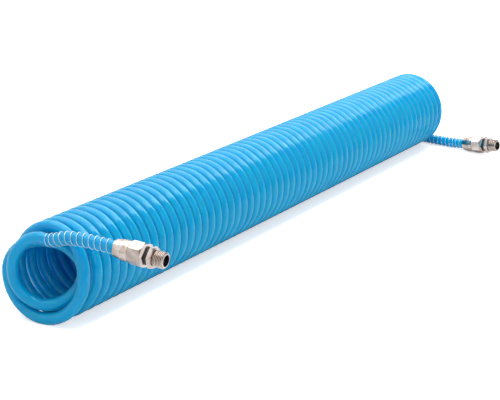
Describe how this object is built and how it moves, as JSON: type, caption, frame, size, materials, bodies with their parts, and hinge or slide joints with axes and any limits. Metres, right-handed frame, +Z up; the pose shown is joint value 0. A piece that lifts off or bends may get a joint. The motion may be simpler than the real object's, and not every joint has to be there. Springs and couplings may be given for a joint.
{
  "type": "coiled air hose",
  "caption": "Spiral recoil air hose of blue polyurethane with a spring guard and a swivel male-thread fitting at each end.",
  "frame": {"origin": "on the plane that the hose lies on, under the coil's axis, at the flat under the bottom of the middle turn", "axes": "+X along the coil's axis from its near end, with the end loop, to its far end; +Z up; both hose ends leave towards -Y"},
  "size_m": [0.68, 0.1602, 0.0861],
  "materials": {
    "hose": "glossy translucent polyurethane",
    "nickel": "bright nickel plate on brass",
    "spring_wire": "drawn stainless wire",
    "rubber": "matt",
    "black_plastic": "matt"
  },
  "bodies": {
    "root": {"hose_coil": "hose", "near_hose_tail": "hose", "near_hose_end": "hose", "near_spring_guard": "spring_wire", "near_union_nut": "nickel", "near_barb_body": "nickel", "near_snap_ring": "spring_wire", "near_bearing_ring": "black_plastic"},
    "near_swivel": {"near_swivel_stem": "nickel", "near_o_ring": "rubber"},
    "far_end": {"far_hose_tail": "hose", "far_hose_end": "hose", "far_spring_guard": "spring_wire", "far_union_nut": "nickel", "far_barb_body": "nickel", "far_snap_ring": "spring_wire", "far_bearing_ring": "black_plastic"},
    "far_swivel": {"far_swivel_stem": "nickel", "far_o_ring": "rubber"}
  },
  "joints": [
    {"name": "coil_stretch", "type": "slide", "parent": "root", "child": "far_end", "axis": [1, 0, 0], "range_m": [0, 1.3], "stiffness_N_per_m": 0.75, "springref_m": -1.3, "deforming": ["hose_coil"]},
    {"name": "near_swivel_turn", "type": "hinge", "parent": "root", "child": "near_swivel", "pos_m": [-0.33401, -0.10506, 0.07521], "axis": [0.0992, -0.9923, -0.0744], "continuous": true},
    {"name": "far_swivel_turn", "type": "hinge", "parent": "far_end", "child": "far_swivel", "pos_m": [0.30888, -0.1015, 0.01214], "axis": [-0.181, -0.9746, 0.1323], "continuous": true}
  ]
}
